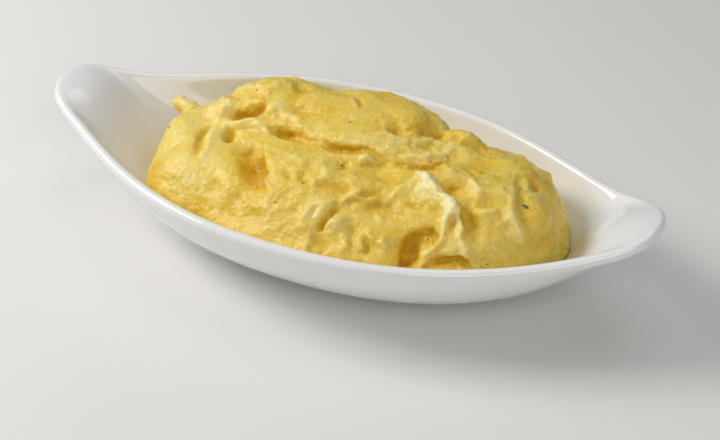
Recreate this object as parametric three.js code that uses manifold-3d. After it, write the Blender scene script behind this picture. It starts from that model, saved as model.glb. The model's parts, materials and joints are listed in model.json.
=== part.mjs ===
import * as THREE from "three";
import { mergeVertices } from "three/addons/utils/BufferGeometryUtils.js";
import Module from "manifold-3d";

// A side of mashed potato in a white porcelain boat dish with an ear at each end.
// Millimetres: X runs along the dish, Z is up, and the dish stands on Z = 0 with its middle at the origin.

// The dish: its outline is a tapered body blended with the two ears
const dishLength = 240;
const rimHalfWidth = 57.6;
const bodyHalfLength = 118.4;
const bodyTaper = 2.24;
const bodyRoundness = 0.96;
const earHalfWidth = 19.8;
const earBluntness = 12.4;
const earBlend = 3.65;
const rimHeight = 37.2;
const earLift = 8.3;
const earLiftPower = 8.4;
const wallThickness = 4.6;
const earUnderhang = 3;

// The foot: a shallow oval ring
const footHalfLength = 62;
const footHalfWidth = 23.4;
const footHeight = 1.2;
const footRingOuter = 0.98;
const footRingInner = 0.84;
const footEdgeSlope = 0.02;
const floorMiddleShare = 0.5;

// The wall's curve from foot to rim, as shares of the way out and up, at the sides and at the ears
const sideCurve = { leaves: [0.15, 0], arrives: [1, 0.45] };
const earCurve = { leaves: [0.63, 0.16], arrives: [0.45, 0.87] };
const earSharePower = 5.5;

// How finely the dish is faceted
const dishColumns = 80;
const wallSteps = 8;
const lipSteps = 5;

// The mash lies in the dish with this gap, and is shaped as a ball stretched about a point low in the heap
const fitGap = 0.3;
const heapMiddle = new THREE.Vector3(7, -4, 6);
const heapReach = new THREE.Vector3(84, 54, 54);
const heapDetail = 28;
const cavityTop = 80;
const leastReach = 0.12;
const mostReach = 1.6;
const shortestStep = 0.5;
const stepShare = 0.6;
const halvings = 12;

// The heap's large lobes: middle, half sizes, turn in degrees and how boxy each one is
const lobes = [
  { at: [10, -6, 12], half: [81, 54, 38], turn: 0, boxy: 2 },
  { at: [-27, 10, 33], half: [28, 24, 22.3], turn: 0, boxy: 2.45 },
  { at: [7, 10, 33], half: [30, 25, 24.2], turn: 0, boxy: 2.8 },
  { at: [-44, -6.5, 16], half: [32, 37, 30.4], turn: 0, boxy: 2.45 },
  { at: [49.5, -5.5, 22], half: [36.6, 35.5, 29.8], turn: 0, boxy: 2.5 },
  { at: [-6, -22, 30], half: [34, 20, 20], turn: -4, boxy: 2.2 },
];
const lobeBlend = 6;

// Soft lumps that stand on the lobes
const lumps = [
  { at: [-32, 11, 54], half: [7, 5, 4], turn: 20, boxy: 2 },
  { at: [-12, 9, 55], half: [9, 6, 3], turn: 20, boxy: 2 },
  { at: [20, 10, 54], half: [8, 7, 3.4], turn: 0, boxy: 2 },
  { at: [41, 12, 50], half: [8.5, 7.5, 6], turn: 10, boxy: 2 },
  { at: [62, 6, 48], half: [9, 6, 4], turn: -20, boxy: 2 },
  { at: [46, -10, 49], half: [9, 6, 4.4], turn: 30, boxy: 2 },
  { at: [62, -12, 48], half: [7, 6, 4], turn: 0, boxy: 2 },
  { at: [74, -12, 42], half: [10, 10, 8], turn: 0, boxy: 2 },
  { at: [-48, 2, 45], half: [8, 6, 5], turn: 20, boxy: 2 },
  { at: [-44, -24, 42], half: [10, 9, 5], turn: 0, boxy: 2 },
  { at: [-20, -30, 44], half: [12, 7, 5], turn: 0, boxy: 2 },
  { at: [20, -26, 46], half: [9, 6, 4], turn: 0, boxy: 2 },
];
const lumpBlend = 4;

// Ridges and fingers of mash: each point is x, y, z and the radius there
const leftLip = [
  [-49, -10, 44, 2.2],
  [-44, -8, 45.6, 2.6],
  [-38, -7, 47.6, 2.6],
  [-32, -6.5, 49.2, 2.4],
  [-27, -7, 49.6, 2.2],
];
const upperLayerEdge = [
  [-20, -7, 51, 2.4],
  [-8, -8.5, 51.5, 2.8],
  [4, -9, 52, 2.8],
  [16, -8, 52, 2.6],
  [26, -3, 52, 2.4],
  [36, 5, 50.5, 2.2],
  [44, 12, 48.5, 1.8],
];
const hookRidge = [
  [31, -12, 49.5, 1.6],
  [38, -15, 50, 2.4],
  [45, -20, 49.5, 2.8],
  [51, -23, 49, 3],
  [55, -26, 47.5, 3.2],
  [57, -31, 44.5, 3],
  [55, -36, 41, 2.8],
  [51, -40, 37.5, 2.4],
];
const hookLeg = [[57, -30, 45, 2.6], [61, -36, 40, 2.6], [63, -40, 35, 2.4]];
const rightRidge = [[64, -8, 48.6, 1.6], [70, -16, 46.2, 2], [75, -24, 41, 2]];
const hookFinger = [[54, -12, 49.4, 2], [58, -17, 48.2, 2.4], [60, -22, 46, 2]];
const frontFolds = [
  [[0, -34, 43.4, 2], [4, -40, 39.6, 2.6], [7, -46, 34, 2.2]],
  [[17, -37, 41, 2], [19, -42, 38, 2.4], [20, -47, 33.5, 2]],
  [[30, -34, 42, 2], [34, -39, 39.4, 2.6], [36, -44, 35.4, 2.2]],
];
const ridges = [leftLip, upperLayerEdge, hookRidge, hookLeg, rightRidge, hookFinger, ...frontFolds];
const ridgeBlend = 2.4;

// The stubby finger that sticks out over the left end
const finger = { root: [-58, 2, 38.6], tip: [-68.4, 4, 40.8], radius: 2.7, columns: 14, capSteps: 4 };

// Hollows left by the spoon, and the two small caves at the near edge
const hollows = [
  { at: [-38, -3, 53.5], half: [9, 5.5, 6], turn: 15, boxy: 2 },
  { at: [-27, -20, 49], half: [9, 4.6, 6], turn: -42, boxy: 2 },
  { at: [-20, -9.5, 53], half: [6, 4, 4], turn: 0, boxy: 2 },
  { at: [-39, -13.5, 50], half: [2, 2, 4], turn: 0, boxy: 2 },
  { at: [18, 1, 60], half: [5.5, 6, 5], turn: 0, boxy: 2 },
  { at: [29, 8, 57.5], half: [6.5, 4.5, 5], turn: 20, boxy: 2 },
  { at: [12, -24, 50], half: [10, 4, 3], turn: 0, boxy: 2 },
  { at: [36, -6, 54], half: [7, 4, 4], turn: -20, boxy: 2 },
  { at: [45, -40, 42], half: [8, 7.5, 6.5], turn: -20, boxy: 2 },
  { at: [57, -42, 38], half: [5, 5, 5], turn: 0, boxy: 2 },
];
const hollowBlend = 2.5;

// Creases: the long groove below the upper layer, one on the left lobe, and those between the folds
const creases = [
  [[-17, -11.5, 51, 1.4], [-8, -12.5, 50.5, 1.6], [2, -13, 50.5, 1.8], [13, -12, 50.5, 1.4], [22, -9, 51, 1]],
  [[-51, -6, 46.5, 1.6], [-50, -13, 46, 1.8], [-47, -20, 44.8, 1.2]],
  [[11, -37, 43.5, 1.4], [12, -42, 41, 1.8], [13, -47, 37, 1.6]],
  [[25, -36, 43.5, 1.2], [26.5, -42, 40.5, 1.6], [27, -47, 36, 1.4]],
  [[66, -14, 50.5, 1.2], [71, -22, 47, 1.6], [74, -29, 42, 1.4]],
];
const creaseBlend = 1.6;

// Points closer than this are one point
const weldReach = 1e-4;

// Height of the uneven swell over the whole surface, long waves and short ones
const longSwell = 0.5;
const shortSwell = 0.35;

const porcelain = new THREE.MeshStandardMaterial({ color: 0xe8e9eb, roughness: 0.12, metalness: 0 });
const mash = new THREE.MeshStandardMaterial({ color: 0xe5c25e, roughness: 0.45, metalness: 0 });

const wasm = await Module();
wasm.setup();

// A closed geometry as a solid that can be cut
function solidFrom(geometry) {
  geometry.deleteAttribute("normal");
  geometry.deleteAttribute("uv");
  const merged = mergeVertices(geometry, weldReach);
  const vertProperties = new Float32Array(merged.getAttribute("position").array);
  const triVerts = new Uint32Array(merged.index.array);
  return new wasm.Manifold(new wasm.Mesh({ numProp: 3, vertProperties, triVerts }));
}

// The solid back as a geometry
function geometryFrom(solid) {
  const { vertProperties, triVerts } = solid.getMesh();
  const geometry = new THREE.BufferGeometry();
  geometry.setAttribute("position", new THREE.BufferAttribute(vertProperties, 3));
  geometry.setIndex(new THREE.BufferAttribute(triVerts, 1));
  geometry.computeVertexNormals();
  return geometry;
}

// A closed skin from one upright section for each turn: a ball whose rows move to the section's points
function skinFrom(columns, sectionAt) {
  const sections = Array.from({ length: columns }, (_, column) =>
    sectionAt(Math.PI + (2 * Math.PI * column) / columns));
  const rows = sections[0].length - 1;
  const ball = new THREE.SphereGeometry(1, columns, rows);
  const place = ball.getAttribute("position");
  for (let row = 0; row <= rows; row += 1) {
    for (let column = 0; column <= columns; column += 1) {
      const { x, y, z } = sections[column % columns][row];
      place.setXYZ(row * (columns + 1) + column, x, y, z);
    }
  }
  return ball;
}

// 0 along the sides of the dish, rising to 1 at the tips of its ears
function earShare(x) {
  return (Math.abs(x) / (dishLength / 2)) ** earSharePower;
}

function rimPoint(turn) {
  const x = (dishLength / 2) * Math.cos(turn);
  const along = Math.abs(x) / (dishLength / 2);
  const bodyFall = Math.max(0, 1 - (Math.abs(x) / bodyHalfLength) ** bodyTaper);
  const bodyWidth = rimHalfWidth * bodyFall ** bodyRoundness;
  const earWidth = earHalfWidth * Math.sqrt(Math.max(0, 1 - along ** earBluntness));
  const width = (bodyWidth ** earBlend + earWidth ** earBlend) ** (1 / earBlend);
  return new THREE.Vector3(x, Math.sign(Math.sin(turn)) * width, rimHeight + earLift * along ** earLiftPower);
}

function footPoint(turn, scale, height) {
  const x = footHalfLength * scale * Math.cos(turn);
  const y = footHalfWidth * scale * Math.sin(turn);
  return new THREE.Vector3(x, y, height);
}

// The outer skin of the wall: climb goes from 0 at the foot to 1 at the rim
function outerSkin(turn, climb) {
  const foot = footPoint(turn, 1, footHeight);
  const rim = rimPoint(turn);
  const share = earShare(rim.x);
  const handle = (end) => {
    const atSide = new THREE.Vector2(...sideCurve[end]);
    return atSide.lerp(new THREE.Vector2(...earCurve[end]), share);
  };
  const curve = new THREE.CubicBezierCurve(
    new THREE.Vector2(0, 0), handle("leaves"), handle("arrives"), new THREE.Vector2(1, 1));
  const way = curve.getPoint(climb);
  return new THREE.Vector3(
    THREE.MathUtils.lerp(foot.x, rim.x, way.x),
    THREE.MathUtils.lerp(foot.y, rim.y, way.x),
    THREE.MathUtils.lerp(foot.z, rim.z, way.y));
}

// The wall's own directions at a place: into the wall, and up along it, square to the rim
function wallFrame(turn, climb) {
  const near = 1e-3;
  const around = outerSkin(turn + near, climb).sub(outerSkin(turn - near, climb)).normalize();
  const low = Math.max(0, climb - near);
  const high = Math.min(1, climb + near);
  const upwards = outerSkin(turn, high).sub(outerSkin(turn, low));
  const inwards = upwards.clone().cross(around).normalize();
  return { inwards, up: around.clone().cross(inwards).normalize() };
}

// A point inside the wall, depth millimetres in from its outer side
function wallPoint(turn, climb, depth) {
  const skin = outerSkin(turn, climb);
  return skin.addScaledVector(wallFrame(turn, climb).inwards, depth - earUnderhang * earShare(skin.x));
}

// Where the wall stops so that its rounded lip just reaches the rim
function lipStart(turn) {
  const lipRadius = wallThickness / 2;
  const near = 0.02;
  const speed = outerSkin(turn, 1).distanceTo(outerSkin(turn, 1 - near)) / near;
  return 1 - lipRadius / speed;
}

function wallClimbs(turn) {
  return Array.from({ length: wallSteps + 1 }, (_, step) => (lipStart(turn) * step) / wallSteps);
}

// From the middle of the inner floor, up the inside, over the lip, down the outside and under the foot
function dishSection(turn) {
  const climbs = wallClimbs(turn);
  const floorHeight = footHeight + wallThickness;
  const lipClimb = lipStart(turn);
  const { inwards, up } = wallFrame(turn, lipClimb);
  const lipRadius = wallThickness / 2;
  const lipMiddle = wallPoint(turn, lipClimb, lipRadius);
  const lip = Array.from({ length: lipSteps - 1 }, (_, step) => {
    const angle = (Math.PI * (step + 1)) / lipSteps;
    return lipMiddle.clone()
      .addScaledVector(inwards, lipRadius * Math.cos(angle))
      .addScaledVector(up, lipRadius * Math.sin(angle));
  });
  return [
    new THREE.Vector3(0, 0, floorHeight),
    footPoint(turn, floorMiddleShare, floorHeight),
    ...climbs.map((climb) => wallPoint(turn, climb, wallThickness)),
    ...lip,
    ...climbs.reverse().map((climb) => wallPoint(turn, climb, 0)),
    footPoint(turn, footRingOuter, 0),
    footPoint(turn, footRingInner, 0),
    footPoint(turn, footRingInner - footEdgeSlope, footHeight),
    new THREE.Vector3(0, 0, footHeight),
  ];
}

// The room inside the dish, with the gap taken off, carried straight up above the rim
function cavitySection(turn) {
  const depth = wallThickness + fitGap;
  const wall = wallClimbs(turn).map((climb) => wallPoint(turn, climb, depth));
  const rim = wall.at(-1);
  return [
    new THREE.Vector3(0, 0, cavityTop),
    new THREE.Vector3(rim.x, rim.y, cavityTop),
    ...wall.reverse(),
    footPoint(turn, floorMiddleShare, footHeight + depth),
    new THREE.Vector3(0, 0, footHeight + depth),
  ];
}

// Two distances joined or cut with a rounded seam
function softJoin(a, b, blend) {
  const seam = Math.max(blend - Math.abs(a - b), 0) / blend;
  return Math.min(a, b) - (seam * seam * blend) / 4;
}

function softCut(a, b, blend) {
  return -softJoin(-a, b, blend);
}

// About how far a point is outside a rounded lobe
function lobeDistance(point, { at, half, turn, boxy }) {
  const local = point.clone().sub(new THREE.Vector3(...at));
  local.applyAxisAngle(new THREE.Vector3(0, 0, 1), -THREE.MathUtils.degToRad(turn));
  const shares = local.toArray().map((value, axis) => Math.abs(value) / half[axis] + 1e-6);
  const sum = shares.reduce((total, share) => total + share ** boxy, 0);
  const size = sum ** (1 / boxy);
  const slope = Math.hypot(...shares.map((share, axis) => share ** (boxy - 1) / half[axis]));
  return (size - 1) / Math.max(slope * sum ** (1 / boxy - 1), 1e-4);
}

// How far a point is outside a strand through the given points
function strandDistance(point, strand) {
  let nearest = Infinity;
  for (let piece = 1; piece < strand.length; piece += 1) {
    const start = new THREE.Vector3(...strand[piece - 1]);
    const end = new THREE.Vector3(...strand[piece]);
    const along = end.clone().sub(start);
    const share = THREE.MathUtils.clamp(point.clone().sub(start).dot(along) / along.lengthSq(), 0, 1);
    const radius = THREE.MathUtils.lerp(strand[piece - 1][3], strand[piece][3], share);
    nearest = Math.min(nearest, start.addScaledVector(along, share).distanceTo(point) - radius);
  }
  return nearest;
}

function swell({ x, y, z }) {
  const long = Math.sin(x / 4.1 + 1.3 * Math.sin(y / 5.3)) * Math.sin(y / 3.7 + 1.1 * Math.sin(z / 4.9));
  const short = Math.sin(x / 2.3 + y / 3.1 + 1.7 * Math.sin(z / 2.9));
  return longSwell * long + shortSwell * short;
}

// The heap as one distance: negative inside the mash
function heapDistance(point) {
  let distance = lobeDistance(point, lobes[0]);
  for (const lobe of lobes.slice(1)) distance = softJoin(distance, lobeDistance(point, lobe), lobeBlend);
  for (const lump of lumps) distance = softJoin(distance, lobeDistance(point, lump), lumpBlend);
  for (const ridge of ridges) distance = softJoin(distance, strandDistance(point, ridge), ridgeBlend);
  for (const hollow of hollows) distance = softCut(distance, lobeDistance(point, hollow), hollowBlend);
  for (const crease of creases) distance = softCut(distance, strandDistance(point, crease), creaseBlend);
  return distance - swell(point);
}

// The outermost place where a line from the heap's middle leaves the mash
function heapPoint(direction) {
  const ray = direction.clone().multiply(heapReach);
  const length = ray.length();
  const at = (reach) => heapMiddle.clone().addScaledVector(ray, reach);
  let outside = mostReach;
  let inside = mostReach;
  while (inside > leastReach) {
    const distance = heapDistance(at(inside));
    if (distance <= 0) break;
    outside = inside;
    inside -= Math.max(shortestStep, stepShare * distance) / length;
  }
  for (let halving = 0; halving < halvings; halving += 1) {
    const middle = (inside + outside) / 2;
    if (heapDistance(at(middle)) <= 0) inside = middle;
    else outside = middle;
  }
  return at(inside);
}

function heapGeometry() {
  const ball = new THREE.IcosahedronGeometry(1, heapDetail);
  ball.deleteAttribute("normal");
  ball.deleteAttribute("uv");
  const heap = mergeVertices(ball, weldReach);
  const place = heap.getAttribute("position");
  for (let index = 0; index < place.count; index += 1) {
    const { x, y, z } = heapPoint(new THREE.Vector3().fromBufferAttribute(place, index));
    place.setXYZ(index, x, y, z);
  }
  return heap;
}

function fingerGeometry() {
  const root = new THREE.Vector3(...finger.root);
  const along = new THREE.Vector3(...finger.tip).sub(root);
  const { radius, capSteps, columns } = finger;
  const capsule = new THREE.CapsuleGeometry(radius, along.length(), capSteps, columns);
  const heading = along.clone().normalize();
  const turn = new THREE.Quaternion().setFromUnitVectors(new THREE.Vector3(0, 1, 0), heading);
  capsule.applyQuaternion(turn);
  return capsule.translate(...root.addScaledVector(along, 0.5).toArray());
}

// The heap with its finger, cut to the inside of the dish, without loose scraps
function mashGeometry() {
  const cavity = solidFrom(skinFrom(dishColumns, cavitySection));
  const heap = solidFrom(heapGeometry()).add(solidFrom(fingerGeometry()));
  const bodies = heap.intersect(cavity).decompose();
  bodies.sort((a, b) => b.volume() - a.volume());
  return geometryFrom(bodies[0]);
}

function named(name, geometry, material) {
  const mesh = new THREE.Mesh(geometry, material);
  mesh.name = name;
  return mesh;
}

const side = new THREE.Group();
side.add(named("dish", skinFrom(dishColumns, dishSection), porcelain));
side.add(named("mashed_potato", mashGeometry(), mash));

export default side;
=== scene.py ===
import json
import math
import random

import bpy
import numpy as np
from mathutils import Matrix, Vector
from mathutils.bvhtree import BVHTree

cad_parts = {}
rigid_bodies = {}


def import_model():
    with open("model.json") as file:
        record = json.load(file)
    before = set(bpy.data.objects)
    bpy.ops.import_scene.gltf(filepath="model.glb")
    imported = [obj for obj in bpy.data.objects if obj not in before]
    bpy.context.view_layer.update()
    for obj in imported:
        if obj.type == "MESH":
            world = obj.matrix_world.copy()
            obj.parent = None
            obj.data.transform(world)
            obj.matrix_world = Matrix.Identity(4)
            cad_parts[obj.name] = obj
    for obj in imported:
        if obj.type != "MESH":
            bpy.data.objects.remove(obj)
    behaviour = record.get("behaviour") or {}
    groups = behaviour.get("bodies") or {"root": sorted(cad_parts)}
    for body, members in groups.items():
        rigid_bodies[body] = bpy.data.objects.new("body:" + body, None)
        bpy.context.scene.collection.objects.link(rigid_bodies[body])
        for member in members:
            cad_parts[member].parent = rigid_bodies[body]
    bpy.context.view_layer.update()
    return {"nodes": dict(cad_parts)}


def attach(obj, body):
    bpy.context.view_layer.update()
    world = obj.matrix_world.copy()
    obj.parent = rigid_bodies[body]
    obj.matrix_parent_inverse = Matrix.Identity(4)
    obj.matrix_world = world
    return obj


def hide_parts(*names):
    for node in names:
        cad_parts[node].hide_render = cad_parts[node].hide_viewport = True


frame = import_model()
mm = 0.001
print("frame loaded:", sorted(frame["nodes"]))

# The camera stands where the photograph was taken from, with a picture 720 wide and 440 high
view = {
    "at": (0.1839, -0.4191, 0.3437),
    "ahead": (-0.314, 0.7459, -0.5873),
    "right": (0.9165, 0.3996, 0.0175),
    "lens": 74.69,
    "sensor": 36,
    "width": 720,
    "height": 440,
}


def cameraAxes():
    ahead = np.array(view["ahead"]) / np.linalg.norm(view["ahead"])
    right = np.array(view["right"]) / np.linalg.norm(view["right"])
    up = np.cross(right, ahead)
    return ahead, right, up / np.linalg.norm(up)


def deselectAll():
    for item in bpy.context.view_layer.objects:
        item.select_set(False)


def pick(piece):
    deselectAll()
    piece.select_set(True)
    bpy.context.view_layer.objects.active = piece


def modify(piece, kind, **settings):
    pick(piece)
    modifier = piece.modifiers.new(kind.lower(), kind)
    for name, value in settings.items():
        setattr(modifier, name, value)
    bpy.ops.object.modifier_apply(modifier=modifier.name)


def copyOfNode(node, name):
    source = frame["nodes"][node]
    piece = bpy.data.objects.new(name, source.data.copy())
    piece.data.name = name
    piece.data.materials.clear()
    bpy.context.scene.collection.objects.link(piece)
    pick(piece)
    bpy.ops.object.mode_set(mode="EDIT")
    bpy.ops.mesh.select_all(action="SELECT")
    bpy.ops.mesh.remove_doubles(threshold=0.01 * mm)
    bpy.ops.object.mode_set(mode="OBJECT")
    return piece


def cornersOf(piece):
    corners = np.empty(len(piece.data.vertices) * 3, np.float32)
    piece.data.vertices.foreach_get("co", corners)
    return corners.reshape(-1, 3).astype(float)


def moveCorners(piece, corners):
    piece.data.vertices.foreach_set("co", corners.astype(np.float32).ravel())
    piece.data.update()


def directionsOf(piece):
    normals = np.empty(len(piece.data.vertices) * 3, np.float32)
    piece.data.vertices.foreach_get("normal", normals)
    return normals.reshape(-1, 3).astype(float)


def skinOf(piece):
    corners = [corner.co for corner in piece.data.vertices]
    return BVHTree.FromPolygons(corners, [tuple(face.vertices) for face in piece.data.polygons])


def smoothShade(piece):
    pick(piece)
    bpy.ops.object.shade_smooth()


def newMaterial(name):
    material = bpy.data.materials.new(name)
    material.use_nodes = True
    nodes = material.node_tree.nodes
    shader = nodes["Principled BSDF"]
    place = nodes.new("ShaderNodeTexCoord")
    return material, nodes, material.node_tree.links, shader, place.outputs["Object"]


def noiseNode(nodes, links, place, scale, detail=3, roughness=0.5, distortion=0):
    node = nodes.new("ShaderNodeTexNoise")
    node.inputs["Scale"].default_value = scale
    node.inputs["Detail"].default_value = detail
    node.inputs["Roughness"].default_value = roughness
    node.inputs["Distortion"].default_value = distortion
    links.new(place, node.inputs["Vector"])
    return node.outputs["Fac"]


def rangeNode(nodes, links, value, low, high, toLow, toHigh):
    node = nodes.new("ShaderNodeMapRange")
    for name, number in zip(("From Min", "From Max", "To Min", "To Max"), (low, high, toLow, toHigh)):
        node.inputs[name].default_value = number
    links.new(value, node.inputs["Value"])
    return node.outputs["Result"]


def rampNode(nodes, links, value, stops):
    node = nodes.new("ShaderNodeValToRGB")
    ramp = node.color_ramp
    while len(ramp.elements) < len(stops):
        ramp.elements.new(0.5)
    for element, (position, colour) in zip(ramp.elements, stops):
        element.position = position
        element.color = (*colour, 1)
    links.new(value, node.inputs["Fac"])
    return node.outputs["Color"]


def mixNode(nodes, links, share, first, second, blend="MIX"):
    node = nodes.new("ShaderNodeMix")
    node.data_type = "RGBA"
    node.blend_type = blend
    for socket, value in zip((node.inputs[0], node.inputs[6], node.inputs[7]), (share, first, second)):
        if isinstance(value, bpy.types.NodeSocket):
            links.new(value, socket)
        elif isinstance(value, tuple):
            socket.default_value = (*value, 1)
        else:
            socket.default_value = value
    return node.outputs[2]


def bumpNode(nodes, links, height, strength, distance, under=None):
    node = nodes.new("ShaderNodeBump")
    node.inputs["Strength"].default_value = strength
    node.inputs["Distance"].default_value = distance
    links.new(height, node.inputs["Height"])
    if under:
        links.new(under, node.inputs["Normal"])
    return node.outputs["Normal"]


# The porcelain dish: the CAD dish with its facets rounded off

dish = {
    "roundness": 2,
    "glaze": (0.84, 0.84, 0.83),
    "glazeGloss": 0.07,
    "bareClay": (0.72, 0.69, 0.64),
    "bareHeight": 0.35 * mm,
}


def porcelainMaterial():
    material, nodes, links, shader, place = newMaterial("porcelain")
    parts = nodes.new("ShaderNodeSeparateXYZ")
    links.new(place, parts.inputs["Vector"])
    bare = rangeNode(nodes, links, parts.outputs["Z"], dish["bareHeight"], 2.4 * dish["bareHeight"], 1, 0)
    cloud = noiseNode(nodes, links, place, 22, 4)
    tint = rampNode(nodes, links, cloud, [(0.3, dish["glaze"]), (0.75, (0.86, 0.865, 0.87))])
    links.new(mixNode(nodes, links, bare, tint, dish["bareClay"]), shader.inputs["Base Color"])
    smear = rangeNode(nodes, links, noiseNode(nodes, links, place, 60, 5, 0.6), 0.35, 0.75,
                      dish["glazeGloss"], dish["glazeGloss"] + 0.07)
    gloss = mixNode(nodes, links, bare, smear, (0.7, 0.7, 0.7))
    links.new(gloss, shader.inputs["Roughness"])
    shader.inputs["IOR"].default_value = 1.52
    shader.inputs["Coat Weight"].default_value = 0.35
    shader.inputs["Coat Roughness"].default_value = 0.04
    pool = noiseNode(nodes, links, place, 55, 2)
    skin = noiseNode(nodes, links, place, 900, 2)
    wavy = bumpNode(nodes, links, pool, 0.25, 0.25 * mm)
    links.new(bumpNode(nodes, links, skin, 0.12, 0.02 * mm, wavy), shader.inputs["Normal"])
    return material


def buildDish():
    piece = copyOfNode("dish", "porcelainDish")
    bpy.ops.object.mode_set(mode="EDIT")
    bpy.ops.mesh.select_all(action="SELECT")
    bpy.ops.mesh.tris_convert_to_quads()
    bpy.ops.object.mode_set(mode="OBJECT")
    modify(piece, "SUBSURF", levels=dish["roundness"], render_levels=dish["roundness"])
    smoothShade(piece)
    piece.data.materials.append(porcelainMaterial())
    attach(piece, "root")
    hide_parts("dish")
    return piece


dishPiece = buildDish()
print("dish built:", len(dishPiece.data.polygons), "faces")


# The mash: one field of soft lobes with ridges and grooves, in millimetres

mash = {
    "firstCell": 1.0 * mm,
    "lastCell": 0.57 * mm,
    "clearance": 0.3,
    "mostMove": 3.5,
    "lobeBlend": 6,
    "lumpBlend": 3.2,
    "fingerBlend": 1.4,
    "skinDepth": 7.5,
    "ridgeSharpness": 1.3,
    "grooveSharpness": 2,
    "stir": 0.4,
    "lumpy": 0.7,
    "crumbly": 0.38,
    "torn": 0.7,
    "smoothing": 0.12,
    "bedDepth": 2,
    "keptShare": 0.3,
    "crest": 57.1 * mm,
    "crestShare": 0.6,
    "hollowReaches": ((1.2, 0.35), (3, 0.35), (7, 0.3)),
    "grain": (1.6 * mm, 0.5 * mm),
    "fineGrain": (0.8 * mm, 0.36 * mm),
    # The mash colours, from its deepest painted shade in hollows to its palest painted light on crests
    "tints": [
        (0.0, (0.66, 0.36, 0.002)),
        (0.22, (0.76, 0.475, 0.015)),
        (0.46, (0.83, 0.60, 0.08)),
        (0.68, (0.89, 0.71, 0.20)),
        (0.88, (0.94, 0.81, 0.36)),
        (1.0, (0.98, 0.90, 0.55)),
    ],
    "wetness": (0.24, 0.52),
    "glow": 0.8,
    "glowColour": (1.0, 0.7, 0.16),
    "glowDepth": 1.9 * mm,
}

# Each lobe: middle, half sizes, turn in degrees, boxiness
lobes = [
    (10, -6, 12, 81, 54, 38, 0, 2),
    (-27, 10, 33, 28, 24, 22.3, 0, 2.45),
    (7, 10, 33, 30, 25, 24.2, 0, 2.8),
    (-42, -6, 16, 29.4, 37, 30.8, 0, 2.6),
    (49.5, -5.5, 22, 36.6, 35.5, 29.8, 0, 2.5),
    (-6, -22, 30, 34, 20, 20, -4, 2.2),
]

lumps = [
    (-32, 11, 54, 7, 5, 4, 20, 2),
    (-12, 9, 55, 9, 6, 3, 20, 2),
    (20, 10, 54, 8, 7, 3.4, 0, 2),
    (41, 12, 48.8, 8.5, 7.5, 5, 10, 2),
    (62, 6, 48, 9, 6, 4, -20, 2),
    (46, -10, 49, 9, 6, 4.4, 30, 2),
    (62, -12, 48, 7, 6, 4, 0, 2),
    (74, -12, 42, 10, 10, 8, 0, 2),
    (-48, 2, 45, 8, 6, 5, 20, 2),
    (-58, -7, 37, 10.5, 16, 9, 0, 2),
    (20, -26, 46, 9, 6, 4, 0, 2),
]

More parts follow.
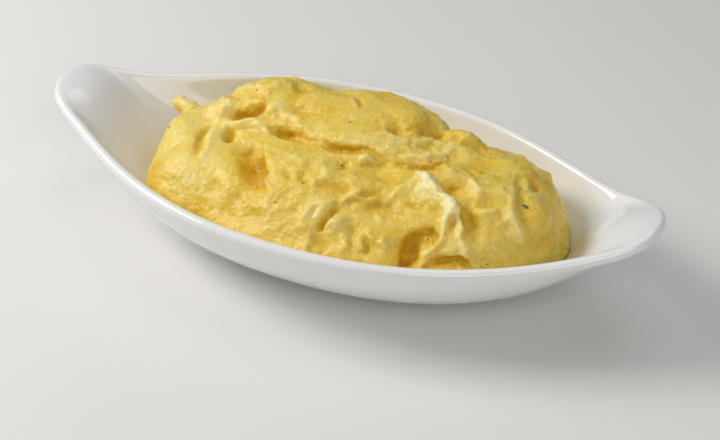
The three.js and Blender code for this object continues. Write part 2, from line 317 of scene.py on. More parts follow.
# Ridges and grooves on the lobes, as seen in the picture: the widths in mm on a line's left and right,
# then its points, each across and down in the 720 x 440 picture with the height there in mm.
# A height below 0 is a groove
relief = {
    "upperHollow": (3.4, 1.9, [
        (229, 115, -1.4), (236, 114, -4.2), (246, 114, -5.4), (256, 112, -4.4), (263, 107, -1.4)]),
    "upperHollowEnd": (1.2, 1.2, [(257, 107, -1.6), (261, 106, -1.6)]),
    "leftKnob": (2.3, 1.8, [(221, 118, 1.2), (225, 110, 2.5), (231, 103, 1.6)]),
    "sill": (1.2, 2.2, [(216, 126, 0.6), (230, 125, 1), (244, 123, 1.4), (256, 121, 1.2), (263, 124, 0.8)]),
    "sillCrease": (0.9, 1, [(236, 130, -0.5), (247, 131, -0.9), (258, 129, -0.5)]),
    "crumbLeft": (1.1, 1.1, [(258, 127, 1), (261, 125, 1)]),
    "crumbRight": (1.2, 1.2, [(266, 130, 1.2), (269, 134, 1.4)]),
    "roundHole": (1.7, 1.7, [(229, 133.5, -4.6), (229, 138, -4.6)]),
    "lobeCrease": (1.1, 1.6, [
        (214, 125, -0.8), (207, 129, -2.6), (202, 135, -3.3), (199, 141, -3.2), (198, 148, -2),
        (196, 154, -0.5)]),
    "lobeFlap": (1.8, 1.4, [(216, 129, 0.5), (210, 136, 1.1), (207, 145, 1), (203, 153, 0.5)]),
    "pocket": (3, 6, [(247, 149, -3.4), (251, 155, -5.6), (256, 163, -6.4), (259, 171, -4.4)]),
    "pocketDeep": (1.3, 2, [(255, 157, -1), (259, 165, -2.2), (260.5, 171, -1.6)]),
    "pocketTop": (0.9, 2.6, [(243, 147, -0.7), (252, 146, -1.1), (262, 146, -0.9)]),
    "pocketEdge": (3.2, 0.7, [(265, 148, 0.6), (266, 156, 1.1), (266, 164, 0.9), (268, 172, 0.5)]),
    "lobeSeam": (4, 4, [(262, 179, -1), (250, 190, -0.9), (240, 200, -0.8), (231, 211, -0.6)]),
    "lobeDimple": (2.3, 2.3, [(214, 182, -0.8), (216, 188, -0.9)]),
    "lobeHigh": (2.5, 2.5, [(205, 110, 0.6), (214, 106, 1), (224, 101, 0.8)]),
    "leftPeak": (1.8, 3.5, [(240, 87, 1.8), (250, 87, 1.3), (259, 86, 0.8)]),
    "underPeak": (2.5, 2.5, [(235, 97, -0.8), (240, 101, -0.6)]),
    "topKnob": (3, 3, [(272, 82, 0.5), (283, 80, 1.2), (294, 82, 0.6)]),
    "crownSpotA": (2, 2, [(266, 119, -0.8), (276, 118, -0.7)]),
    "crownKnobA": (2.5, 2.5, [(270, 109, 1), (279, 104, 1.1)]),
    "crownKnobB": (2.5, 2.5, [(289, 117, 0.8), (298, 120, 0.9)]),
    "crownSag": (4, 4, [(297, 106, -0.8), (306, 108, -0.8)]),
    "darkHollow": (2.6, 0.9, [
        (272, 132, -1.4), (277, 134, -3), (285, 136, -3.2), (293, 138, -2.2), (300, 140, -1.3)]),
    "layerShade": (2.8, 1, [(300, 140, -1.3), (312, 143, -1.2), (324, 146, -1.4), (332, 147, -1.8)]),
    "layerGroove": (0.7, 1.6, [
        (329, 147, -1.2), (338, 147.5, -2.7), (350, 148, -3.1), (362, 149.5, -2.9), (370, 152, -2.3),
        (378, 156, -1.7), (386, 161, -0.7)]),
    "layerEdge": (5, 1.1, [
        (300, 131, 0.6), (315, 138, 1), (330, 142, 1.2), (345, 143, 1.5), (358, 144, 1.5),
        (370, 147, 1.2), (380, 152, 0.8)]),
    "underRidge": (0.9, 1.6, [(332, 154, 0.4), (345, 156, 0.9), (356, 157, 1.1), (362, 157, 0.8)]),
    "brightLump": (1.3, 1.6, [(361, 160, 1), (366, 156.5, 2.1), (371, 159, 1.1)]),
    "lumpShade": (1, 2.2, [(366, 165, -0.8), (376, 165, -1.3), (386, 163, -0.8)]),
    "flake": (0.6, 1.6, [(351, 97, 0.5), (354, 101, 1.5), (356, 106, 1.5), (358, 111, 0.6)]),
    "flakeShade": (1.4, 1, [(358, 99, -0.7), (361, 105, -0.9)]),
    "tornBits": (0.8, 1.2, [(380, 113, 0.5), (384, 119, 0.9), (386, 125, 0.8)]),
    "biteLeft": (5, 1, [(388, 128, -1.6), (394, 130, -2.9), (400, 131, -2.7), (406, 131, -1.2)]),
    "biteRight": (5, 1, [(420, 133, -0.9), (428, 135, -1.8), (436, 137, -2), (444, 140, -1)]),
    "paleLip": (0.8, 4, [
        (386, 134, 0.8), (394, 137, 1.4), (404, 139, 1.2), (414, 140, 1.2), (424, 141, 1.4),
        (434, 142, 1.2), (444, 143, 0.8)]),
    "crownEnd": (2, 2, [(430, 113, 0.7), (437, 119, 1), (442, 127, 1), (446, 134, 0.8)]),
    "backGap": (1.2, 1.2, [(455, 136, -1.4), (459, 139, -1.4)]),
    "backSpike": (0.7, 0.7, [(461, 141, 1.2), (462, 139, 1.8)]),
    "bandEdge": (4.5, 0.9, [
        (392, 152, 0.6), (404, 158, 1.2), (416, 160, 1.6), (426, 161, 1.8), (436, 158, 1.6),
        (446, 154, 1.4), (454, 150, 0.8)]),
    "bandGroove": (0.8, 2.2, [
        (402, 164, -0.8), (414, 166, -1.9), (424, 167, -2.5), (434, 166, -2.3), (442, 162, -1.5),
        (450, 158, -0.8)]),
    "shortGroove": (1.2, 1.2, [(468, 169, -0.6), (474, 173, -1.7), (480, 177, -0.6)]),
    "backBand": (1, 3, [(452, 150, 0.8), (462, 151, 0.8), (474, 153, 0.7), (490, 158, 0.5)]),
    "backCrease": (1, 1, [(463, 143, -1), (471, 146, -0.9), (482, 150, -0.6)]),
    "pitA": (1.4, 1.4, [(285, 172, -1.1), (289, 175, -1.5)]),
    "pitB": (1.8, 1.8, [(301, 176, -1.4), (306, 180, -1.4)]),
    "pitLine": (1.6, 1.5, [(318, 184, -0.9), (332, 187, -0.9), (346, 188, -1.5)]),
    "pitC": (1.7, 1.5, [(364, 193, -1.1), (373, 193, -1.9), (380, 192, -1)]),
    "pitD": (1.5, 1.5, [(383, 196, -1.1), (390, 198, -0.9)]),
    "speckPit": (1.4, 1.4, [(340, 168, -0.9), (344, 164, -1.1)]),
    "midKnobA": (2.6, 2.6, [(295, 158, 1), (302, 163, 1.1)]),
    "midKnobB": (2.2, 2.4, [(321, 165, 1.2), (327, 171, 1.5), (322, 177, 1)]),
    "midKnobC": (1.2, 1.2, [(311, 180, 1), (314, 184, 0.9)]),
    "midKnobD": (1.2, 1.2, [(351, 177, 0.8), (353, 180, 0.9)]),
    "diagonal": (1.1, 1.6, [(341, 200, 0.6), (347, 196, 1.2), (354, 193, 1.3), (359, 190, 1)]),
    "smoothSag": (5, 5, [(292, 193, -0.6), (310, 196, -0.6), (326, 196, -0.5)]),
    "smallKnobA": (1.1, 1.1, [(400, 190, 0.9), (403, 189, 0.9)]),
    "smallKnobB": (1.1, 1.3, [(391, 199, 1), (395, 196, 1.1)]),
    "beforeHook": (2, 1.4, [(409, 203, -1.1), (417, 205, -2.1), (424, 206, -1.3)]),
    "underNeck": (1.8, 1.8, [(435, 209, -1.2), (440, 213, -1.1)]),
    "frontShade": (3, 3, [(376, 212, -0.8), (390, 211, -1), (400, 216, -0.6)]),
    "foldLeft": (1.6, 3, [(303, 222, 1), (306, 214, 1.9), (312, 207, 2.1), (319, 203, 1.8)]),
    "foldSplit": (1, 1, [(313, 215, -0.9), (317, 209, -0.9)]),
    "foldRight": (1.8, 1.1, [(320, 215, 1.4), (324, 209, 1.9), (329, 205, 1.6)]),
    "foldSlit": (1, 1, [(333, 211, -1.5), (328, 218, -3), (323, 225, -3.1), (319, 231, -1.6)]),
    "foldTail": (1.2, 1.3, [(304, 229, 0.8), (308, 236, 1.4), (310, 242, 1.7), (306, 247, 1.2)]),
    "tailShade": (2.4, 2.4, [(317, 243, -1.6), (323, 246, -1.3)]),
    "plateEdge": (1, 5, [(332, 222, 1.2), (338, 216, 1), (346, 211, 0.8), (356, 206, 0.6)]),
    "plateKnob": (1.3, 1.3, [(335, 221, 1.4), (337, 225, 1.2)]),
    "plateSag": (2.2, 2.2, [(350, 223, -1.1), (354, 231, -1.7), (352, 238, -1)]),
    "streakA": (1.3, 1.3, [(342, 232, 0.7), (345, 240, 1.2), (344, 248, 1.4)]),
    "lowKnob": (1.7, 1.7, [(358, 240, 1.7), (360, 246, 1.9)]),
    "lowSlit": (1.1, 1.2, [(367, 238, -1.1), (367, 245, -2), (365, 251, -2.2)]),
    "streakB": (0.7, 0.7, [(378, 216, 1), (380, 222, 1.1)]),
    "streakC": (1, 1, [(382, 242, 1.2), (384, 249, 1.4)]),
    "streakD": (1, 1, [(370, 232, 0.8), (372, 238, 0.8)]),
    "caveSide": (0.9, 5, [
        (400, 254, -2.4), (402, 247, -3.3), (406, 239, -3.6), (412, 233, -3.4), (419, 231, -2.8)]),
    "caveArc": (0.9, 1.5, [
        (419, 230, -1.6), (426, 227, -2.8), (432, 229, -3.2), (436, 235, -3), (435, 241, -1.8)]),
    "caveFloor": (4.5, 4.5, [(408, 252, -2.4), (419, 248, -2.8), (429, 246, -2.2)]),
    "caveKnob": (1.8, 1.8, [(423, 235, 1), (428, 237, 1.2)]),
    "caveLow": (2, 2, [(405, 260, -2), (415, 259, -2.6)]),
    "lowCave": (1, 4, [
        (430, 263, -2.2), (438, 259, -3.4), (450, 258, -3.9), (460, 260, -3.4), (467, 264, -2)]),
    "hookFlap": (0.9, 3.8, [
        (413, 180, 1.6), (419, 177, 2.8), (426, 178, 3.4), (432, 182, 3.6), (437, 188, 3.6),
        (442, 194, 3.2)]),
    "hookNeck": (1, 1.7, [(440, 192, 2.4), (446, 198, 3), (452, 202, 3.6), (456, 208, 4), (457, 214, 3.4)]),
    "hookHead": (1.6, 2.6, [(451, 206, 1.6), (452, 212, 1.6)]),
    "hookCrumbA": (1, 1, [(414, 186, 0.9), (412, 190, 0.8)]),
    "hookCrumbB": (1.3, 1.4, [(431, 193, 1.3), (436, 197, 1.3)]),
    "leftLeg": (1.3, 1.3, [
        (451, 213, 3.2), (447, 221, 2.8), (443, 229, 2.7), (440, 237, 2.9), (437, 243, 2.9),
        (430, 250, 2.5), (422, 257, 2), (415, 262, 1.4)]),
    "rightLeg": (1, 1, [
        (457, 214, 2.8), (460, 221, 2.3), (461, 228, 2), (460, 235, 1.6), (462, 243, 2), (464, 250, 2.4),
        (465, 257, 2.2)]),
    "hookHole": (1.3, 1.3, [(452, 219, -1.8), (453, 225, -1.8), (454, 232, -0.7)]),
    "web": (3.6, 3.6, [(452, 238, 0.9), (453, 247, 1.3)]),
    "besideHook": (2.4, 2.4, [(439, 184, -1), (446, 187, -2.3), (455, 189, -2.5), (463, 188, -1.2)]),
    "paleFinger": (1.2, 2, [
        (468, 179, 1), (472, 182, 2.1), (477, 188, 2.3), (481, 194, 1.6), (483, 199, 0.8)]),
    "fingerKnob": (1.2, 1.2, [(473, 197, 1.2), (478, 201, 1.3)]),
    "rightKnobA": (1.5, 1.5, [(446, 167, 1.2), (451, 171, 1)]),
    "rightValley": (2.6, 3.2, [(464, 206, -1.4), (468, 214, -2.3), (473, 224, -2.3), (477, 232, -1.2)]),
    "besideHead": (1, 1, [(462, 214, -1.2), (464, 219, -1.5)]),
    "rightKnobB": (1.6, 1.6, [(488, 214, 1), (495, 210, 1.2)]),
    "rightKnobC": (1.6, 1.6, [(499, 189, 1), (500, 194, 1.1)]),
    "rightLine": (1.2, 1.2, [(467, 205, -0.8), (480, 206, -0.9), (494, 207, -0.6)]),
    "rightRidge": (0.9, 2.6, [
        (513, 186, 1), (512, 194, 1.4), (511, 203, 1.6), (512, 211, 2.1), (514, 219, 2.2),
        (517, 228, 1.9), (521, 237, 1.2)]),
    "rightSag": (5, 1.2, [(519, 198, -0.9), (520, 211, -1.5), (524, 223, -1.6), (529, 234, -0.8)]),
    "ridgeBranch": (1, 1, [(499, 224, 0.8), (507, 221, 1.3)]),
    "endPitA": (1.2, 1.2, [(516, 187, -2), (520, 189, -2.1)]),
    "endPitB": (1.6, 1.6, [(533, 184, -1.8), (537, 188, -2.1), (534, 191, -1.4)]),
    "endKnobA": (1.5, 1.5, [(526, 184, 1), (523, 193, 1)]),
    "endKnobB": (1.6, 1.6, [(529, 198, 1), (536, 195, 0.9)]),
    "endTop": (1, 2.5, [(519, 157, 0.8), (528, 163, 1.2), (538, 170, 1.1), (548, 176, 1.6)]),
    "notch": (0.8, 0.8, [(544, 182, -1.5), (549, 182, -1.3)]),
    "endRim": (1.6, 1.6, [(552, 188, 0.7), (558, 198, 0.8), (561, 208, 0.6)]),
}

# The stubby finger at the left end: x, y, z and radius
finger = [(-58, 2, 39.6, 3), (-66, 3.5, 41.6, 3), (-69.8, 4.2, 42.6, 2.8)]

# Smoother places: middle, size and how much of the unevenness is gone
calmPlaces = [
    ((-46, -22, 42), (19, 17, 14), 0.75),
    ((80, -16, 40), (11, 16, 14), 0.7),
    ((-8, -30, 46), (12, 8, 10), 0.5),
    ((34, -34, 42), (7, 8, 8), 0.5),
]

# Painted shade and painted light on the mash: deeper gold in the pocket, the upper hollow and under the
# near edge, paler where the last number is above 0, on lit tips and in the caves. Middle, size, amount
paintedShadeAndLight = [
    ((-22, -26, 46), 6, -0.4),
    ((-37, -4.7, 51.4), 4.5, -0.15),
    ((52.1, -25.4, 50), 3.5, 0.3),
    ((41, -18, 52), 4, 0.2),
    ((-67, 3.6, 43.5), 4, 0.3),
    ((-58, -30, 31), 9, -0.3),
    ((-38, -44, 31), 8, -0.15),
    ((38, 2, 50), 6, 0.08),
    ((45, -39, 39), 5, 0.25),
    ((56, -39, 36), 5, 0.15),
]

# The hidden back is finished like the front, with these lines turned round to it
backNames = [
    "foldLeft", "foldSplit", "foldRight", "foldSlit", "foldTail", "plateEdge", "plateSag", "lowKnob",
    "pitLine", "lobeSeam", "lobeDimple", "frontShade", "smoothSag", "streakA", "lowSlit", "rightValley",
]

lattice = np.random.default_rng(7).random((32, 32, 32))


def lobeDistance(points, lobe):
    middle, half, turn, boxy = np.array(lobe[:3]), np.array(lobe[3:6]), math.radians(lobe[6]), lobe[7]
    away = points - middle
    turned = np.stack([
        away[:, 0] * math.cos(turn) + away[:, 1] * math.sin(turn),
        away[:, 1] * math.cos(turn) - away[:, 0] * math.sin(turn),
        away[:, 2]], 1)
    shares = np.abs(turned) / half + 1e-6
    total = (shares ** boxy).sum(1)
    slope = total ** (1 / boxy - 1) * np.sqrt(((shares ** (boxy - 1) / half) ** 2).sum(1))
    return (total ** (1 / boxy) - 1) / np.maximum(slope, 1e-4)


def softJoin(a, b, blend):
    seam = np.maximum(blend - np.abs(a - b), 0) / blend
    return np.minimum(a, b) - seam * seam * blend / 4


def plainHeap(points):
    distance = lobeDistance(points, lobes[0])
    for lobe in lobes[1:]:
        distance = softJoin(distance, lobeDistance(points, lobe), mash["lobeBlend"])
    for lump in lumps:
        near = np.abs(points - lump[:3]).max(1) < 20
        distance[near] = softJoin(distance[near], lobeDistance(points[near], lump), mash["lumpBlend"])
    return distance


def seenOnHeap(picks):
    # Where the line of sight through each place of the picture meets the heap, or passes nearest to it
    ahead, right, up = cameraAxes()
    across, down = np.array(picks, float).T
    focus = view["lens"] / view["sensor"] * view["width"]
    rays = ahead + np.outer((across - view["width"] / 2) / focus, right)
    rays -= np.outer((down - view["height"] / 2) / focus, up)
    rays /= np.linalg.norm(rays, axis=1, keepdims=True)
    reach = np.full(len(rays), 430.0)
    nearest, spots = np.full(len(rays), 1e9), np.zeros((len(rays), 3))
    for _ in range(200):
        points = np.array(view["at"]) / mm + reach[:, None] * rays
        gaps = plainHeap(points)
        closer = gaps < nearest
        spots[closer], nearest[closer] = points[closer], gaps[closer]
        reach += np.where(nearest < 0.01, 0, 0.6 * gaps)
    return spots


def slopeOf(field, points, here, reach=0.15):
    slopes = [field(points + reach * np.eye(3)[axis]) - here for axis in range(3)]
    return np.stack(slopes, 1) / reach


def cloud(points, size):
    # Smooth seeded noise from -1 to 1
    spots = points / size
    low = np.floor(spots).astype(int)
    share = spots - low
    share = share * share * (3 - 2 * share)
    total = np.zeros(len(points))
    for corner in np.ndindex(2, 2, 2):
        weight = np.prod(np.where(corner, share, 1 - share), axis=1)
        total += weight * lattice[tuple(((low + corner) % len(lattice)).T)]
    return 2 * total - 1


def stirred(points):
    # The small forms wander a little, as soft mash does
    x, y, z = points.T
    return points + mash["stir"] * np.stack([
        np.sin(y / 2.3 + 1.9 * np.sin(z / 3.1)) + 0.6 * np.sin(z / 1.3 + x / 1.9),
        np.sin(z / 2.1 + 1.7 * np.sin(x / 3.7)) + 0.6 * np.sin(x / 1.5 + y / 2.1),
        np.sin(x / 2.6 + 1.8 * np.sin(y / 2.9)) + 0.6 * np.sin(y / 1.4 + z / 1.7)], 1)


def addLine(height, points, outward, leftWidth, rightWidth, line):
    # Adds one ridge or groove, measured along the surface from its line
    middle = (line[:, :3].min(0) + line[:, :3].max(0)) / 2
    reach = np.linalg.norm(line[:, :3] - middle, axis=1).max() + 2.6 * max(leftWidth, rightWidth) + 2
    near = np.linalg.norm(points - middle, axis=1) < reach
    if not near.any():
        return
    points, outward = points[near], outward[near]
    nearest = np.full(len(points), 1e9)
    tall, side = np.zeros(len(points)), np.zeros(len(points))
    for start, end in zip(line, line[1:]):
        along = end[:3] - start[:3]
        share = np.clip((points - start[:3]) @ along / (along @ along), 0, 1)
        away = points - start[:3] - share[:, None] * along
        away -= 0.9 * (away * outward).sum(1, keepdims=True) * outward
        gap = np.linalg.norm(away, axis=1)
        closer = gap < nearest
        nearest = np.where(closer, gap, nearest)
        tall = np.where(closer, start[3] + (end[3] - start[3]) * share, tall)
        side = np.where(closer, (np.cross(outward, along) * away).sum(1), side)
    width = np.where(side > 0, leftWidth, rightWidth)
    sharpness = np.where(tall > 0, mash["ridgeSharpness"], mash["grooveSharpness"])
    height[near] += tall * np.exp(-(nearest / width) ** sharpness)


def roughness(points):
    # The left lobe and the slope at the right end are smoother than the rest
    calm = np.zeros(len(points))
    for middle, size, share in calmPlaces:
        calm = np.maximum(calm, share * np.exp(-(((points - middle) / size) ** 2).sum(1)))
    return 1 - calm


def turnedToBack(line):
    # Turned half a circle about the heap's middle, then laid on its surface
    spots = line * (-1, -1, 1, 1) - (0, 8, 0, 0)
    for _ in range(8):
        here = plainHeap(spots[:, :3])
        spots[:, :3] -= slopeOf(plainHeap, spots[:, :3], here) * here[:, None]
    return spots


# Every line in the same form: its two widths, then points x, y, z with the height there
allRelief = []
allPicks = [pick[:2] for _, _, picks in relief.values() for pick in picks]
spotsOnHeap = iter(seenOnHeap(allPicks))
for name, (leftWidth, rightWidth, picks) in relief.items():
    line = np.array([(*next(spotsOnHeap), height) for _, _, height in picks])
    allRelief.append((leftWidth, rightWidth, line))
    if name in backNames:
        allRelief.append((1.3 * leftWidth, 1.3 * rightWidth, turnedToBack(line)))


def reliefHeight(points, here):
    outward = slopeOf(plainHeap, points, here)
    outward /= np.maximum(np.linalg.norm(outward, axis=1, keepdims=True), 1e-6)
    wandering = stirred(points)
    height = np.zeros(len(points))
    for leftWidth, rightWidth, line in allRelief:
        addLine(height, wandering, outward, leftWidth, rightWidth, line)
    return height


def fingerDistance(points, start, end):
    first, along = np.array(start[:3]), np.array(end[:3]) - np.array(start[:3])
    share = np.clip((points - first) @ along / (along @ along), 0, 1)
    radius = start[3] + (end[3] - start[3]) * share
    return np.linalg.norm(points - first - share[:, None] * along, axis=1) - radius


def heapDistance(points):
    distance = plainHeap(points)
    near = np.abs(distance) < mash["skinDepth"]
    close, here = points[near], distance[near]
    height = reliefHeight(close, here)
    crumbly = mash["crumbly"] * (0.6 + 0.5 * np.minimum(np.abs(height), 2))
    uneven = mash["lumpy"] * cloud(close * (0.6, 1, 1), 4.6) + crumbly * cloud(close, 2.1)
    uneven += mash["torn"] * np.maximum(0.35 - np.abs(cloud(close * (0.6, 0.9, 1) + 40, 3.7)), 0)
    height += uneven * roughness(close)
    for start, end in zip(finger, finger[1:]):
        here = softJoin(here, fingerDistance(close, start, end), mash["fingerBlend"])
    distance[near] = here - height
    return distance


def besideWall(points, wall):
    # How far each point is inside the dish's wall face, and the nearest place on it
    gaps = np.full(len(points), 99.0)
    feet = points.copy()
    outs = np.zeros_like(points)
    for index, point in enumerate(points):
        place, normal, _, reach = wall.find_nearest(Vector(point * mm), 8 * mm)
        if place is not None:
            gaps[index] = (Vector(point * mm) - place).dot(normal) / mm
            feet[index] = np.array(place) / mm
            outs[index] = np.array(normal)
    return gaps, feet, outs


def settle(piece, wall, rounds, step, cell):
    # Draws the skin onto the field a little at a time, with an even mesh again after each round
    for _ in range(rounds):
        for _ in range(2):
            points = cornersOf(piece) / mm
            here = heapDistance(points)
            slope = slopeOf(heapDistance, points, here)
            steep = np.maximum((slope ** 2).sum(1), 0.5)
            move = -slope * (here / steep)[:, None]
            length = np.linalg.norm(move, axis=1, keepdims=True)
            move *= np.minimum(1, step / np.maximum(length, 1e-6))
            move[here < -mash["mostMove"]] = 0  # the bed stays as the dish shapes it
            moveCorners(piece, (points + move) * mm)
        modify(piece, "SMOOTH", factor=mash["smoothing"], iterations=1)
        modify(piece, "REMESH", mode="VOXEL", voxel_size=cell)
        keepLargest(piece)
        clearWall(piece, wall, mash["clearance"])


def keepLargest(piece):
    # Drops any scrap or sealed bubble
    pick(piece)
    bpy.ops.object.mode_set(mode="EDIT")
    bpy.ops.mesh.select_all(action="SELECT")
    bpy.ops.mesh.separate(type="LOOSE")
    bpy.ops.object.mode_set(mode="OBJECT")
    parts = sorted(bpy.context.selected_objects, key=lambda part: len(part.data.vertices))
    if parts[-1] is not piece:
        piece.data, parts[-1].data = parts[-1].data, piece.data
    for part in parts:
        if part is not piece:
            bpy.data.objects.remove(part)


def layOnSkin(piece, skin):
    # Brings back any corner that the coarser mesh has left off the skin
    points = cornersOf(piece)
    for index, point in enumerate(points):
        place, _, _, reach = skin.find_nearest(Vector(point))
        if reach > 0.2 * mm:
            points[index] = place
    moveCorners(piece, points)


def clearWall(piece, wall, clearance):
    points = cornersOf(piece) / mm
    gaps, feet, outs = besideWall(points, wall)
    low = gaps < clearance
    points[low] = feet[low] + outs[low] * clearance
    moveCorners(piece, points * mm)


def grain(piece, size, strength, group, depth):
    texture = bpy.data.textures.new(group + "Grain", "CLOUDS")
    texture.noise_scale, texture.noise_depth = size, depth
    modify(piece, "DISPLACE", texture=texture, strength=strength, mid_level=0.5, texture_coords="LOCAL",
           vertex_group=group)


def groupFrom(piece, name, weights):
    group = piece.vertex_groups.new(name=name)
    for index, weight in enumerate(weights):
        group.add([index], float(weight), "REPLACE")


def attributeFrom(piece, name, values):
    attribute = piece.data.attributes.new(name, "FLOAT", "POINT")
    attribute.data.foreach_set("value", values.astype(np.float32))


def mashMaterial():
    material, nodes, links, shader, place = newMaterial("mashedPotato")
    # The attribute read here holds painted light and shade: paler on lit crests and the left lobe, deeper
    # gold in shaded hollows and grooves
    paintedShading = nodes.new("ShaderNodeAttribute")
    paintedShading.attribute_name = "paintedShading"
    shade = nodes.new("ShaderNodeMath")
    links.new(paintedShading.outputs["Fac"], shade.inputs[0])
    mottle = noiseNode(nodes, links, place, 150, 6, 0.8)
    links.new(rangeNode(nodes, links, mottle, 0.25, 0.75, -0.2, 0.2), shade.inputs[1])
    tint = rampNode(nodes, links, shade.outputs["Value"], mash["tints"])
    fleck = rampNode(nodes, links, noiseNode(nodes, links, place, 900, 2, 0.7),
                     [(0.38, (0.93, 0.90, 0.76)), (0.62, (1.0, 1.0, 1.0))])
    colour = mixNode(nodes, links, 1.0, tint, fleck, "MULTIPLY")
    links.new(colour, shader.inputs["Base Color"])
    wet = rangeNode(nodes, links, noiseNode(nodes, links, place, 260, 4, 0.7), 0.35, 0.65, *mash["wetness"])
    links.new(wet, shader.inputs["Roughness"])
    shader.inputs["IOR"].default_value = 1.4
    shader.inputs["Subsurface Weight"].default_value = mash["glow"]
    shader.inputs["Subsurface Radius"].default_value = mash["glowColour"]
    shader.inputs["Subsurface Scale"].default_value = mash["glowDepth"]
    shader.inputs["Coat Weight"].default_value = 0.2
    shader.inputs["Coat Roughness"].default_value = 0.2
    coarse = noiseNode(nodes, links, place, 700, 4, 0.7)
    fine = noiseNode(nodes, links, place, 2200, 3, 0.7)
    rough = bumpNode(nodes, links, coarse, 0.6, 0.4 * mm)
    grainy = bumpNode(nodes, links, fine, 0.6, 0.15 * mm, rough)
    links.new(grainy, shader.inputs["Normal"])
    links.new(grainy, shader.inputs["Coat Normal"])
    return material


def buildMash(wallPiece):
    wall = skinOf(wallPiece)
    piece = copyOfNode("mashed_potato", "mashedPotato")
    modify(piece, "REMESH", mode="VOXEL", voxel_size=mash["firstCell"])
    settle(piece, wall, 4, 0.65, mash["firstCell"])
    settle(piece, wall, 2, 0.4, mash["lastCell"])
    print("mash shaped:", len(piece.data.polygons), "faces")

    # The bed is hidden, so it is kept coarse
    points = cornersOf(piece) / mm
    groupFrom(piece, "bed", heapDistance(points) < -mash["bedDepth"])
    evenSkin = skinOf(piece)
    modify(piece, "DECIMATE", ratio=mash["keptShare"], vertex_group="bed")
    piece.vertex_groups.clear()
    layOnSkin(piece, evenSkin)

    points = cornersOf(piece) / mm
    here, outward = heapDistance(points), directionsOf(piece)
    bare = np.clip((here + 1.2) / 1.0, 0, 1)
    # How enclosed each place is; below, this deepens the colour as painted shade in hollows
    hollow = np.zeros(len(points))
    for reach, share in mash["hollowReaches"]:
        hollow += share * np.clip(1 - heapDistance(points + outward * reach) / reach, -0.2, 1.2)
    tall = np.zeros(len(points))
    plain = plainHeap(points)
    near = np.abs(plain) < mash["skinDepth"]
    tall[near] = reliefHeight(points[near], plain[near])
    # The left lobe is painted paler: painted light where the key light from the left falls on it
    leftLitShare = np.exp(-(((points - (-52, -20, 42)) / (26, 26, 20)) ** 2).sum(1))
    # Painted light on ridges and painted shade in grooves, in step with the relief heights
    paintedShading = 0.5 + np.where(tall > 0, 0.13, 0.12) * np.clip(tall, -4, 3)
    paintedShading += 0.16 * leftLitShare - 0.55 * np.clip(hollow - 0.06, -0.1, 0.8)
    for middle, size, amount in paintedShadeAndLight:
        paintedShading += amount * np.exp(-((points - middle) ** 2).sum(1) / size ** 2)
    attributeFrom(piece, "paintedShading", np.clip(paintedShading, 0.02, 0.98))
    groupFrom(piece, "rough", bare * roughness(points))
    groupFrom(piece, "bare", bare)
    grain(piece, *mash["grain"], "rough", 2)
    grain(piece, *mash["fineGrain"], "bare", 1)

    clearWall(piece, wall, mash["clearance"] / 2)
    points = cornersOf(piece)
    high = points[:, 2] > mash["crest"]
    points[high, 2] = mash["crest"] + mash["crestShare"] * (points[high, 2] - mash["crest"])
    moveCorners(piece, points)
    smoothShade(piece)
    piece.vertex_groups.clear()
    piece.data.calc_loop_triangles()
    print("mash triangles:", len(piece.data.loop_triangles))
    piece.data.materials.append(mashMaterial())
    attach(piece, "root")
    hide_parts("mashed_potato")
    return piece


mashPiece = buildMash(dishPiece)
print("mash built:", len(mashPiece.data.polygons), "faces")


# Brown specks and green herb bits. Seen: across and down in the picture. Placed: x, y, z in mm.
# Then half length and half width in mm
pepper = {
    "seen": [
        (344, 165, 0.5, 0.4), (275, 202, 0.42, 0.38), (350, 122, 0.42, 0.36), (430, 162, 0.4, 0.32),
        (262, 171, 0.75, 0.4), (448, 157, 0.4, 0.3), (424, 239, 0.42, 0.34), (257, 90, 0.36, 0.34),
        (303, 182, 0.36, 0.3), (487, 264, 0.34, 0.3),
    ],
    "placed": [
        (20, 25, 50, 0.4, 0.34), (-30, 28, 48, 0.42, 0.3), (55, 22, 44, 0.36, 0.3),
        (-55, 14, 38, 0.34, 0.3),
    ],
}
herbs = {
    "seen": [(525, 205, 1.5, 0.55)],
    "placed": [(-64, -13, 41, 1.3, 0.5), (0, 30, 48, 1.2, 0.5)],
}
fleckThickness = 0.22


def fleckMaterial(name, dark, light):
    material, nodes, links, shader, place = newMaterial(name)
    links.new(rampNode(nodes, links, noiseNode(nodes, links, place, 1400, 3), [(0.35, dark), (0.7, light)]),
              shader.inputs["Base Color"])
    shader.inputs["Roughness"].default_value = 0.45
    links.new(bumpNode(nodes, links, noiseNode(nodes, links, place, 3000, 2), 0.4, 0.1 * mm),
              shader.inputs["Normal"])
    return material


def buildFlecks(name, spots, material, heap):
    # Small uneven flakes, half sunk in the mash where they lie
    dice = random.Random(name)
    places = list(seenOnHeap([spot[:2] for spot in spots["seen"]]))
    places += [spot[:3] for spot in spots["placed"]]
    sizes = [spot[-2:] for spot in spots["seen"] + spots["placed"]]
    flakes = []
    for middle, (long, wide) in zip(places, sizes):
        place, normal, _, _ = heap.find_nearest(Vector(middle) * mm)
        deselectAll()
        bpy.ops.mesh.primitive_ico_sphere_add(subdivisions=2, radius=mm)
        flake = bpy.context.object
        corners = cornersOf(flake) * (long, wide, fleckThickness)
        moveCorners(flake, corners * [[dice.uniform(0.8, 1.15)] * 3 for _ in corners])
        turned = Matrix.Rotation(dice.uniform(0, math.pi), 4, "Z")
        tilted = normal.to_track_quat("Z", "Y").to_matrix().to_4x4()
        flake.matrix_world = Matrix.Translation(place) @ tilted @ turned
        flakes.append(flake)
    deselectAll()
    for flake in flakes:
        flake.select_set(True)
    bpy.context.view_layer.objects.active = flakes[0]
    bpy.ops.object.join()
    bpy.ops.object.transform_apply()
    piece = bpy.context.object
    piece.name = piece.data.name = name
    smoothShade(piece)
    piece.data.materials.append(material)
    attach(piece, "root")


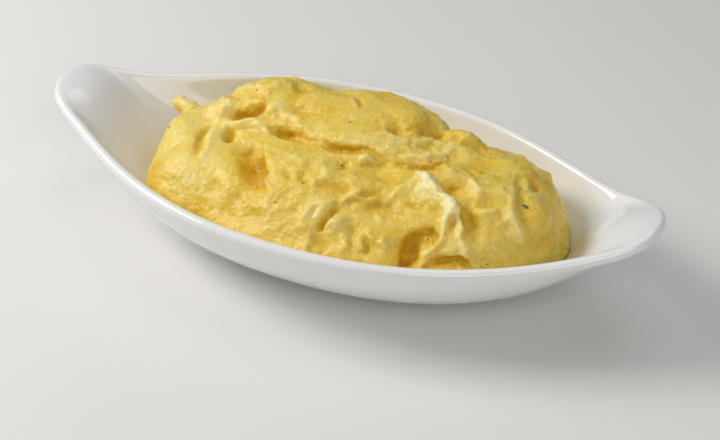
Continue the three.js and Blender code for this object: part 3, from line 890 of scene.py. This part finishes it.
brown = fleckMaterial("pepperBrown", (0.17, 0.08, 0.02), (0.34, 0.18, 0.05))
green = fleckMaterial("herbGreen", (0.08, 0.09, 0.015), (0.2, 0.2, 0.05))
buildFlecks("pepperSpecks", pepper, brown, skinOf(mashPiece))
buildFlecks("herbBits", herbs, green, skinOf(mashPiece))
print("specks and herb bits built")


studio = {
    "floorTint": (0.80, 0.79, 0.77),
    "skyTint": (0.97, 0.97, 0.98),
    "skyStrength": 0.22,
}

# Each light: turn round the dish, height angle, distance, size, watts, tint
lights = {
    "keyWindow": (-78, 38, 0.85, 0.36, 5.0, (1.0, 0.985, 0.96)),
    "softFill": (38, 34, 1.1, 0.7, 3.3, (1.0, 0.98, 0.95)),
    "topPanel": (160, 72, 1.0, 0.6, 1.3, (0.97, 0.98, 1.0)),
}


def buildFloor():
    deselectAll()
    bpy.ops.mesh.primitive_plane_add(size=4, location=(0, 0, 0))
    floor = bpy.context.object
    floor.name = "floor"
    material, nodes, links, shader, place = newMaterial("paleFloor")
    paper = noiseNode(nodes, links, place, 9, 5)
    tint = rampNode(nodes, links, paper, [(0.3, studio["floorTint"]), (0.8, (0.82, 0.81, 0.79))])
    links.new(tint, shader.inputs["Base Color"])
    shader.inputs["Roughness"].default_value = 0.55
    floor.data.materials.append(material)


def buildLights():
    for name, (turn, rise, distance, size, watts, tint) in lights.items():
        lamp = bpy.data.lights.new(name, "AREA")
        lamp.size, lamp.energy, lamp.color = size, watts, tint
        item = bpy.data.objects.new(name, lamp)
        bpy.context.scene.collection.objects.link(item)
        turn, rise = math.radians(turn), math.radians(rise)
        away = Vector((math.sin(turn) * math.cos(rise), -math.cos(turn) * math.cos(rise), math.sin(rise)))
        item.location = away * distance + Vector((0, 0, 0.03))
        item.rotation_euler = away.to_track_quat("Z", "Y").to_euler()
    world = bpy.data.worlds.new("softRoom")
    world.use_nodes = True
    sky = world.node_tree.nodes["Background"]
    sky.inputs["Color"].default_value = (*studio["skyTint"], 1)
    sky.inputs["Strength"].default_value = studio["skyStrength"]
    bpy.context.scene.world = world


def buildCamera():
    ahead, right, up = (Vector(axis) for axis in cameraAxes())
    lens = bpy.data.cameras.new("photoCamera")
    lens.lens, lens.sensor_width = view["lens"], view["sensor"]
    camera = bpy.data.objects.new("photoCamera", lens)
    bpy.context.scene.collection.objects.link(camera)
    turned = Matrix((right, up, -ahead)).transposed().to_4x4()
    camera.matrix_world = Matrix.Translation(view["at"]) @ turned
    lens.clip_start, lens.clip_end = 0.01, 20
    bpy.context.scene.camera = camera


buildFloor()
buildLights()
buildCamera()
bpy.context.scene.view_settings.view_transform = "Standard"
print("stage, lights and camera built")
